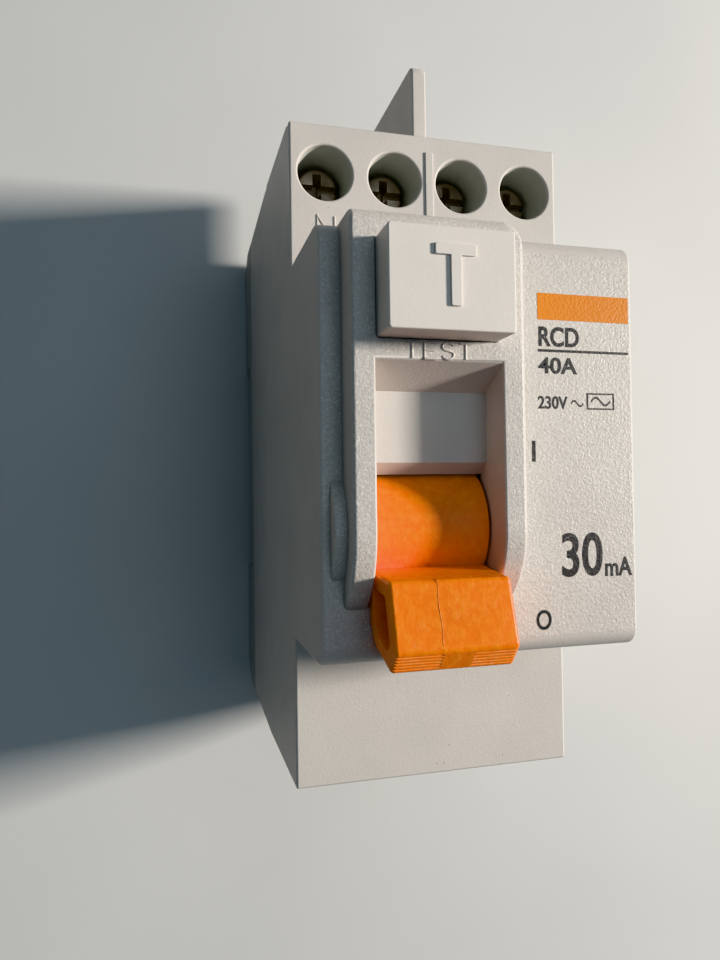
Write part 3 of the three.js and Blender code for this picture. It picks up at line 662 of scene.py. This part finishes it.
def window_cutter():
    steep = (BEZEL_Z - FACE_Z) / (WINDOW_TOP - WINDOW_FLOOR_TOP)
    return prism([
        (WINDOW_TOP + 1 / steep, BEZEL_Z + 1), (WINDOW_FLOOR_TOP, FACE_Z),
        (WINDOW_FLOOR_BOTTOM, FACE_Z), (OPENING_TOP, FACE_Z - 1.5), (OPENING_TOP, OPENING_LOW),
        (COLUMN_FOOT, OPENING_LOW), (COLUMN_FOOT, BEZEL_Z + 1),
    ], "x", WINDOW_LEFT, WINDOW_RIGHT)


def lever_slot():
    """The part of the opening below the window, just wide enough for the lever."""
    gap = 0.06
    x = (LEVER_LEFT - gap, LEVER_RIGHT + gap)
    return block(x, (OPENING_BOTTOM, COLUMN_FOOT + 1), (OPENING_LOW, BEZEL_Z))


def access_hole(x):
    rim = 0.3
    bore = stack(
        grown_circle(x, TERMINAL_Y, ACCESS_RADIUS, 64), flared(LEDGE_Z, SHOULDER_Z, rim))
    ledge = prism(circle(x, TERMINAL_Y, LEDGE_RADIUS, 48), "z", BLOCK_Z - 1, LEDGE_Z + 0.5)
    return bore, ledge


def wire_entry(x):
    low, high, half, corner, rim = 15.9, 22.4, 2.7, 0.6, 0.35
    return stack(
        grown_rectangle(x - half, x + half, low, high, corner, corner_share=1),
        flared(BODY_HALF_HEIGHT - 3, BODY_HALF_HEIGHT, rim), "y")


def end_panel():
    """The flat panel that stands proud of the terminal end, under the shoulder."""
    half = HALF_WIDTH - 0.05
    return stack(
        grown_rectangle(-half, half, PANEL_LOW, PANEL_HIGH, 0.25),
        round_top(BODY_HALF_HEIGHT - 0.5, PANEL_Y, 0.15), "y")


def button_hole():
    gap, rim = 0.07, 0.07
    return stack(
        grown_rectangle(
            BUTTON_LEFT - gap, BUTTON_RIGHT + gap, BUTTON_BOTTOM - gap, BUTTON_TOP + gap, 0.4,
            corner_share=1),
        flared(BEZEL_Z - 3, BEZEL_Z, rim))


def button_pocket():
    """The space behind the bezel's wall for the button's flange."""
    left, right, bottom, top = -14.15, 1.1, 9.05, 20.3
    return block((left, right), (bottom, top), (FACE_Z - 2, BEZEL_Z - WALL))


def axle_bore(left, right):
    return prism(circle(PIVOT_Y, PIVOT_Z, AXLE_HOLE, 32), "x", left, right)


def barrier_groove():
    gap = Vector((0.12, 0.3, 0.12))
    low, high = FIN_LOW - gap, FIN_HIGH + gap
    return block((low.x, high.x), (low.y, BODY_HALF_HEIGHT + 1), (low.z, high.z))


def snap_window(x, side):
    y = side * BACK_HALF_HEIGHT
    half, depth, low, high = 2.3, 2, 7.1, 9.7
    return block((x - half, x + half), (y - depth, y + depth), (low, high))


def toggle_boss():
    """The round boss beside the bezel, over the toggle's axis, above the face only."""
    disc = bevelled(
        prism(circle(PIVOT_Y, PIVOT_Z, BOSS_RADIUS, 96), "x", BOSS_LEFT, BEZEL_LEFT + 0.1), 0.2,
        lambda a, b: both(a, b, lambda p: near(p.x, BOSS_LEFT)))
    return combined(disc, "INTERSECT", [block((-HALF_WIDTH, 0), (-30, 20), (FACE_Z - 1, FACE_Z + 5))])


def toggle_cheeks():
    """The two walls inside the nose that hold the toggle's axle."""
    half = 5
    y, z = (PIVOT_Y - half, PIVOT_Y + half), (PIVOT_Z - half, FACE_Z - 1)
    return [block((WALL - HALF_WIDTH - 0.1, WINDOW_LEFT - 0.1), y, z),
            block((WINDOW_RIGHT + 0.1, BEZEL_RIGHT), y, z)]


def guide_ledges():
    """Ledges on both inner walls that the mechanism frame bears on."""
    y, z = (12, 20), (48, 49.3)
    return [block(x, y, z) for x in ((-16.5, -15.4), (15.4, 16.5))]


def shoulder_rib():
    """The low rib between the two pairs of terminals."""
    left, right, top, proud = -0.45, 0.6, 38.4, 0.2
    return stack(
        grown_rectangle(left, right, NOSE_HALF_HEIGHT - 0.5, top, 0.12),
        round_top(SHOULDER_Z - 0.3, SHOULDER_Z + proud, 0.1))


def front_housing():
    body = joined(
        cut(casing_outer(), hollow()), bezel_outer(), toggle_boss(), shoulder_rib(), end_panel(),
        *toggle_cheeks(), *guide_ledges())
    holes = [cutter for place in TERMINALS for cutter in access_hole(place.x)]
    body = cut(
        body, *holes,
        *(wire_entry(place.x) for place in TERMINALS),
        window_cutter(), lever_slot(),
        axle_bore(-15.4, 2.1),
        button_pocket(),
        button_hole(),
        barrier_groove(),
        *(snap_window(x, side) for x in (-10, 10) for side in (1, -1)))

    def window_rim(a, b):
        def inner(p):
            return near(p.z, column_top(p.y), slack=0.06) and -17.2 < p.y < WINDOW_TOP + 0.1

        rims = (
            lambda p: near(p.x, WINDOW_LEFT), lambda p: near(p.x, WINDOW_RIGHT),
            lambda p: near(p.y, WINDOW_TOP))
        return both(a, b, inner) and any(both(a, b, rim) for rim in rims)

    return bevelled(body, 0.25, window_rim, 3)


def is_grained(face):
    """The face and the bezel's front are spark-eroded; walls and shoulders are finer."""
    in_window = all(WINDOW_LEFT - 0.5 < vert.co.x < WINDOW_RIGHT + 0.5 for vert in face.verts)
    return face.calc_center_median().z > FACE_Z - 0.05 and face.normal.z > 0.55 and not in_window


def in_access_hole(face):
    middle = face.calc_center_median()
    nearest = min((middle.xy - place.xy).length for place in TERMINALS)
    return LEDGE_Z - 2 < middle.z < SHOULDER_Z - 0.3 and nearest < ACCESS_RADIUS + 0.1


# Index 2 gives the access holes' inner walls the recess material, whose darker greenish colour is
# painted shade and reflection.
def casing_finish(face):
    return 1 if is_grained(face) else 2 if in_access_hole(face) else 0


piece("front_casing", front_housing(), "housing", ["casing", "face", "recess"],
      ["front_housing"], casing_finish)


# ---- raised and printed lettering ------------------------------------------------------------


def fitted_text(text, left, right, bottom, top, low, high, weight=0.0):
    """Flat letters filling a box on the front, between two heights."""
    curve = bpy.data.curves.new("text", "FONT")
    curve.body = text
    curve.extrude = 0.5
    curve.offset = weight
    curve.resolution_u = 6
    mesh = converted(curve)
    points = [vertex.co for vertex in mesh.vertices]
    u0, u1 = min(p.x for p in points), max(p.x for p in points)
    v0, v1 = min(p.y for p in points), max(p.y for p in points)
    for p in points:
        p.x = left + (p.x - u0) / (u1 - u0) * (right - left)
        p.y = bottom + (p.y - v0) / (v1 - v0) * (top - bottom)
        p.z = low + (p.z + 0.5) * (high - low)
    return mesh


def strokes(paths, radius, z):
    """Raised letters with rounded tops, as round strokes sunk half into the surface."""
    return gathered([tube([(u, v, z) for u, v in path], radius) for path in paths])


def raised_test():
    low, high = 8.0, 9.58
    middle = (low + high) / 2
    wide, step, start = 1.2, 1.87, -10.25
    t, e, s, last = (start + step * i for i in range(4))
    radius = (high - low) / 4
    bend = (wide / 2) / radius
    upper = [(s + wide / 2 + (u * bend), v) for u, v in arc(0, high - radius, radius, 20, 270, 10)]
    lower = [(s + wide / 2 + (u * bend), v) for u, v in arc(0, low + radius, radius, 90, -160, 10)]
    return [
        [(t, high), (t + wide, high)], [(t + wide / 2, high), (t + wide / 2, low)],
        [(e, low), (e, high), (e + wide, high)], [(e, middle), (e + wide * 0.8, middle)],
        [(e, low), (e + wide, low)],
        upper + lower[1:],
        [(last, high), (last + wide, high)], [(last + wide / 2, high), (last + wide / 2, low)],
    ]


piece("raised_test_lettering", strokes(raised_test(), 0.16, BEZEL_Z - 0.05),
      "housing", ["face"])

N_LEFT, N_RIGHT, N_TOP, N_BOTTOM = -14.6, -12.4, 29.1, 25.7
RAISED_N = [(N_LEFT, N_BOTTOM), (N_LEFT, N_TOP), (N_RIGHT, N_BOTTOM), (N_RIGHT, N_TOP)]
piece("raised_n_lettering", strokes([RAISED_N], 0.18, SHOULDER_Z - 0.05),
      "housing", ["casing"])

INK_LOW, INK_HIGH = FACE_Z - 0.02, FACE_Z + 0.03


def bar(left, right, bottom, top):
    return block((left, right), (bottom, top), (INK_LOW, INK_HIGH))


def wave(left, right, middle, height, thick):
    """A printed sine sign."""
    steps = 24
    line = [(left + (right - left) * i / steps, middle + height * math.sin(2 * math.pi * i / steps))
            for i in range(steps + 1)]
    upper = [(u, v + thick / 2) for u, v in line]
    lower = [(u, v - thick / 2) for u, v in reversed(line)]
    return prism(upper + lower, "z", INK_LOW, INK_HIGH)


def framed(left, right, bottom, top, thick):
    outer = rounded_rectangle(left, right, bottom, top, 0.05, 2)
    inner = rounded_rectangle(left + thick, right - thick, bottom + thick, top - thick, 0.02, 2)
    rings = [[(u, v, z) for u, v in ring] for ring, z in (
        (outer, INK_LOW), (outer, INK_HIGH), (inner, INK_HIGH), (inner, INK_LOW))]
    return loft(rings, closed=False)


def ink(text, left, right, bottom, top, weight=0.0):
    return fitted_text(text, left, right, bottom, top, INK_LOW, INK_HIGH, weight)


piece("printed_marks", gathered([
    bar(5.36, 5.76, -1.94, 0.33),
    ink("O", 5.53, 7.32, -20.08, -17.93, 0.015),
    ink("RCD", 6.37, 11.3, 10.6, 12.8, 0.025),
    bar(6.28, 17.5, 10.02, 10.3),
    ink("40A", 6.28, 11.0, 7.64, 9.45, 0.022),
    ink("230V", 6.18, 9.75, 3.8, 5.2, 0.02),
    wave(10.2, 11.7, 4.45, 0.3, 0.2),
    framed(12.13, 15.58, 3.8, 5.63, 0.17),
    wave(12.7, 15.05, 4.72, 0.42, 0.24),
    ink("30", 8.73, 13.74, -14.54, -9.73, 0.018),
    ink("mA", 14.04, 17.44, -14.64, -12.55, 0.02),
]), "housing", ["ink"])

piece("printed_band", bar(6.28, 17.56, 13.54, 16.44), "housing", ["band"])


# ---- terminal barrier ------------------------------------------------------------------------


def barrier():
    low, high = FIN_LOW, FIN_HIGH
    slope, corner, edge_round = 0.5, 1.2, 0.22
    outline = [(low.y, low.z), (high.y - slope, low.z), (high.y, low.z + slope),
               *arc(high.y - corner, high.z - corner, corner, 0, 90, 8), (low.y, high.z)]
    return bevelled(prism(outline, "x", low.x, high.x), edge_round,
                    lambda a, b: near(a.x, b.x) and not near(a.y, low.y), 3)


piece("barrier_fin", barrier(), "housing", ["casing"], ["terminal_barrier"])


# ---- test button -----------------------------------------------------------------------------


def test_button():
    overlap = 0.7
    cap = stack(
        grown_rectangle(BUTTON_LEFT, BUTTON_RIGHT, BUTTON_BOTTOM, BUTTON_TOP, 0.25),
        round_top(FLANGE_HIGH - overlap, BUTTON_Z, 0.16))
    flange = prism(rounded_rectangle(
        BUTTON_LEFT - 0.63, BUTTON_RIGHT + 1.22, BUTTON_BOTTOM - 0.6, BUTTON_TOP + 0.3, 0.3),
        "z", FLANGE_LOW, FLANGE_HIGH)
    stem = stack(
        grown_circle(STEM_X, STEM_Y, STEM_RADIUS, 40),
        [(BUTTON_LOW, -0.25), (BUTTON_LOW + 0.3, 0), (FLANGE_LOW + overlap, 0)])
    raised_t = [stack(grown_rectangle(*stroke, 0.12, 2), round_top(BUTTON_Z - 0.2, BUTTON_HIGH, 0.08))
                for stroke in (T_BAR, T_STEM)]
    return joined(cap, flange, stem, *raised_t)


piece("test_button_cap", test_button(), "test_button", ["button"], ["test_button"])


# ---- toggle lever ----------------------------------------------------------------------------


TIP_FRONT, TIP_TOP, TIP_LOW, TIP_UNDER = (-13.4, 66.15), (-19.75, 68.05), (-21.95, 66.3), (-20, 61.5)


def lever_outline():
    return [
        (-12.75, 59.6), TIP_FRONT, TIP_TOP, TIP_LOW, TIP_UNDER, (-17.8, 59.5), (-13.6, 55.5), (-9, 56)]


def toggle_barrel():
    barrel = prism(circle(PIVOT_Y, PIVOT_Z, BARREL_RADIUS, 96), "x", LEVER_LOW.x, LEVER_HIGH.x)
    return bevelled(barrel, 0.2, lambda a, b: near(a.x, b.x))


def toggle_blade():
    blade = prism(lever_outline(), "x", LEVER_LEFT, LEVER_RIGHT)
    rounds = {TIP_FRONT: 0.4, TIP_TOP: 0.4, TIP_LOW: 0.4, TIP_UNDER: 1.0}

    def along_width(a, b):
        return next((part for (y, z), part in rounds.items()
                     if both(a, b, lambda p: near(p.y, y) and near(p.z, z))), 0)

    blade = bevelled(blade, 0.9, along_width, 5)
    return bevelled(blade, 0.45, lambda a, b: near(a.x, b.x) and max(a.z, b.z) > TIP_UNDER[1] + 0.9, 4)


def leaning(points):
    """Points given from the pivot, turned with the crank."""
    return turned(points, PIVOT_Y, PIVOT_Z, CRANK_LEAN)


def barrel_hollows():
    """Two spaces in the barrel, open below, with the crank leg between them."""
    below = leaning([(-4, 0), (-4, -8), (6, -8), (6, 0)])
    round_space = circle(PIVOT_Y, PIVOT_Z, 4.6, 64)
    return [prism(outline, "x", *span)
            for span in ((-11.9, -7.9), (-5.6, -1.5)) for outline in (below, round_space)]


def side_pocket():
    outline = [(-14.5, 60.8), (-14.8, 65.1), (-19.3, 66.5), (-20.0, 65.4), (-18.9, 62.4), (-17.2, 60.9)]
    return bevelled(prism(outline, "x", LEVER_LEFT - 1, -9), 0.5, lambda a, b: not near(a.x, b.x), 4)


def toggle_lever():
    half_leg, leg_left, leg_right, link_hole = 1.7, -7.7, -5.8, 0.95
    leg = leaning([(half_leg, 0), (-half_leg, 0), *arc(0, -CRANK_RADIUS, half_leg, 180, 360, 16)])
    crank = leaning([(0, -CRANK_RADIUS)])[0]
    body = joined(toggle_barrel(), toggle_blade())
    body = joined(cut(body, *barrel_hollows()), prism(leg, "x", leg_left, leg_right))
    return cut(
        body, side_pocket(), *tip_grooves(), axle_bore(LEVER_LEFT - 1, 1),
        prism(circle(*crank, link_hole, 32), "x", leg_left - 1, leg_right + 1))


def tip_grooves():
    """Fine grooves across the tip, on both sides of its plain middle band."""
    start, end = Vector(TIP_TOP), Vector(TIP_LOW)
    down = (end - start).normalized()
    out = Vector((down.y, -down.x))
    out = -out if out.y < 0 else out
    count, first, pitch, half, depth = 5, 0.55, 0.42, 0.13, 0.2
    grooves = []
    for i in range(count):
        at = start + down * (first + pitch * i)
        corners = [at - down * half + out * 0.06, at - out * depth, at + down * half + out * 0.06]
        for span in ((LEVER_LEFT - 1, BAND_LEFT), (BAND_RIGHT, LEVER_RIGHT + 1)):
            grooves.append(prism([tuple(corner) for corner in corners], "x", *span))
    return grooves


def parting_line():
    """The mould's parting line, up the lever and across its front face."""
    path = [(-13.2, 63.6), TIP_FRONT, (-15.5, 66.79), (-17.6, 67.41), (-19.6, 68.01)]
    points = []
    for (y0, z0), (y1, z1) in zip(path, path[1:]):
        for i in range(6):
            y = y0 + (y1 - y0) * i / 6
            x = BAND_LEFT - 0.12 + 0.06 * math.sin(1.7 * y) + 0.02 * math.sin(6.1 * y)
            points.append((x, y, z0 + (z1 - z0) * i / 6))
    return tube(points, 0.032)


piece("toggle_parting_line", parting_line(), "toggle", ["toggle"])
piece("toggle_handle", toggle_lever(), "toggle", ["toggle"], ["toggle_lever"])


# ---- terminal screws -------------------------------------------------------------------------


def screw(x):
    y, radius = TERMINAL_Y, 2.65
    head_low = LEDGE_Z + 0.3
    head = stack(grown_circle(x, y, radius, 56), round_both(head_low, SCREW_HIGH, 0.3))
    shank_radius, pitch, low, high = 2.2, 0.8, SCREW_LOW, head_low + 0.1
    turns = int((high - low) / pitch)
    profile = [(low, -0.3)]
    for i in range(turns):
        profile += [(low + pitch * (i + share), growth)
                    for share, growth in ((0.35, 0), (0.5, 0), (0.9, -0.32))]
    shank = stack(grown_circle(x, y, shank_radius, 40), profile + [(high, -0.1)])
    slot_low = SCREW_HIGH - 1.4
    slot = block((x - radius - 1, x + radius + 1), (y - 0.5, y + 0.5), (slot_low, SCREW_HIGH + 1))
    corners = ((-1, -1), (1, -1), (1, 1), (-1, 1))
    cross = loft([[(x + side * half, y + end * length, z) for side, end in corners]
                  for half, length, z in ((0.3, 1.1, slot_low - 0.6), (0.6, 2.1, SCREW_HIGH + 0.3))])
    return cut(joined(head, shank), slot, cross)


for number, place in enumerate(TERMINALS, 1):
    piece(f"screw_head_{number}", screw(place.x), f"screw_{number}", ["screw"],
          [f"terminal_screw_{number}"])


# ---- springs ---------------------------------------------------------------------------------


def coil(start, axis, radius, wire, length, turns):
    """A compression spring with flat closed ends, from a start point along an axis."""
    per_turn, closed = 20, 1.0
    steps = turns * per_turn
    points = []
    for i in range(steps + 1):
        turn = i / per_turn
        free = min(max(turn - closed, 0), turns - 2 * closed) / (turns - 2 * closed)
        rise = wire * (1 + min(turn, closed) * 2 + max(turn - turns + closed, 0) * 2)
        along = rise + free * (length - 6 * wire)
        angle = 2 * math.pi * turn
        across = placed(axis, radius * math.cos(angle), radius * math.sin(angle), along)
        points.append(Vector(start) + Vector(across))
    return tube(points, wire)


def spring(name, node, axis, radius, wire, turns):
    """A finer spring in a CAD spring's place."""
    low, high = box_mm(node)
    middle = (low + high) / 2
    index = "xyz".index(axis)
    length = high[index] - low[index]
    start = middle.copy()
    start[index] = low[index]
    mesh = coil(start, axis, radius, wire, length, turns)
    made = piece(name, mesh, "housing", ["spring"], [node])
    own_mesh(made)


spring("button_coil", "test_button_spring", "z", 3, 0.33, 7)
spring("latch_coil", "din_latch_spring", "y", 0.75, 0.17, 8)


# ---- CAD nodes that keep their own shape -----------------------------------------------------

NODE_FINISH = {
    "rear_base": "base", "din_latch": "frame", "mechanism_frame": "frame", "contact_carrier": "frame",
    "trip_lever": "frame", "test_button_guide": "frame", "toroid_core": "core",
    "secondary_winding": "winding", "trip_relay": "relay", "test_resistor": "resistor",
    "opening_spring": "spring", "trip_lever_spring": "spring", "test_contact_blade": "copper",
    "toggle_axle": "steel", "carrier_axle": "steel", "trip_axle": "steel", "link_rod": "steel",
    "relay_plunger": "steel",
}
for number in (1, 2):
    NODE_FINISH.update({
        f"input_plate_{number}": "copper", f"output_plate_{number}": "copper",
        f"contact_arm_{number}": "copper", f"fixed_contact_{number}": "silver",
        f"moving_contact_{number}": "silver", f"contact_spring_{number}": "spring",
        f"primary_lead_{number}": "insulation", f"secondary_lead_{number}": "insulation",
    })
NODE_FINISH.update({f"cage_clamp_{number}": "steel" for number in range(1, 5)})
WIRES = ("spring", "lead", "rod", "resistor")


def softened(node, finish):
    """A CAD node with its finish; its sharp edges are rounded by modifiers, its mesh left alone."""
    shown = frame["nodes"][node]
    for slot in shown.material_slots:
        slot.material = MATERIALS[finish]
    weld = shown.modifiers.new("weld", "WELD")
    weld.merge_threshold = 0.002 * MM
    flat = shown.modifiers.new("flat", "DECIMATE")
    flat.decimate_type = "DISSOLVE"
    flat.angle_limit = math.radians(0.5)
    if not any(word in node for word in WIRES):
        bevel = shown.modifiers.new("bevel", "BEVEL")
        bevel.width = 0.15 * MM
        bevel.segments = 2
        bevel.limit_method = "ANGLE"
        bevel.angle_limit = math.radians(35)
        bevel.use_clamp_overlap = True
    normals = shown.modifiers.new("normals", "WEIGHTED_NORMAL")
    normals.keep_sharp = True


for node, finish in NODE_FINISH.items():
    softened(node, finish)


# ---- camera, floor and light -----------------------------------------------------------------


# The view that was fitted to the photo: lens and place in millimetres, turn in degrees.
SENSOR_WIDTH, LENS = 36, 27.375
CAMERA_PLACE = (-33.03, -5.09, 131.17)
CAMERA_TURN = (1.257, -15.017, -0.823)


def set_camera():
    camera = bpy.data.cameras.new("camera")
    camera.sensor_width = SENSOR_WIDTH
    camera.lens = LENS
    camera.clip_start = 0.005
    holder = bpy.data.objects.new("camera", camera)
    holder.location = Vector(CAMERA_PLACE) * MM
    holder.rotation_euler = Euler([math.radians(angle) for angle in CAMERA_TURN])
    bpy.context.scene.collection.objects.link(holder)
    bpy.context.scene.camera = holder


def floor():
    n = Nodes("floor_paint")
    soft = n.ranged(n.noise(60, 3), 0.3, 0.7)
    colour = n.mix(soft, (0.60, 0.605, 0.60), (0.64, 0.645, 0.64))
    material = n.finish(colour, 0.7, n.bump(n.noise(1.2, 3), 0.01))
    half = 3.0
    z = CAD_BOX[0].z
    bm = bmesh.new()
    corners = ((-half, -half), (half, -half), (half, half), (-half, half))
    bm.faces.new([bm.verts.new((x, y, z)) for x, y in corners])
    mesh = as_mesh(bm)
    mesh.materials.append(material)
    plane = bpy.data.objects.new("floor", mesh)
    bpy.context.scene.collection.objects.link(plane)


def area_light(name, direction, distance, size, power, colour):
    """A square light that faces the middle of the part from the given direction."""
    lamp = bpy.data.lights.new(name, "AREA")
    lamp.size = size
    lamp.energy = power
    lamp.color = colour
    holder = bpy.data.objects.new(name, lamp)
    toward = Vector(direction).normalized()
    holder.location = toward * distance + Vector((0, 0, 0.04))
    holder.rotation_euler = toward.to_track_quat("Z", "Y").to_euler()
    bpy.context.scene.collection.objects.link(holder)


def set_world(colour, strength):
    world = bpy.data.worlds.new("studio")
    world.use_nodes = True
    world.node_tree.nodes["Background"].inputs["Color"].default_value = (*colour, 1)
    world.node_tree.nodes["Background"].inputs["Strength"].default_value = strength
    bpy.context.scene.world = world


set_camera()
floor()
area_light("key", (1.0, 0.13, 0.52), 1.2, 0.16, 24, (1.0, 0.925, 0.835))
area_light("top_fill", (0.1, 0.2, 1.0), 1.0, 0.8, 1.9, (0.72, 0.88, 1.0))
set_world((0.62, 0.8, 0.92), 0.11)
bpy.context.scene.view_settings.view_transform = "Khronos PBR Neutral"
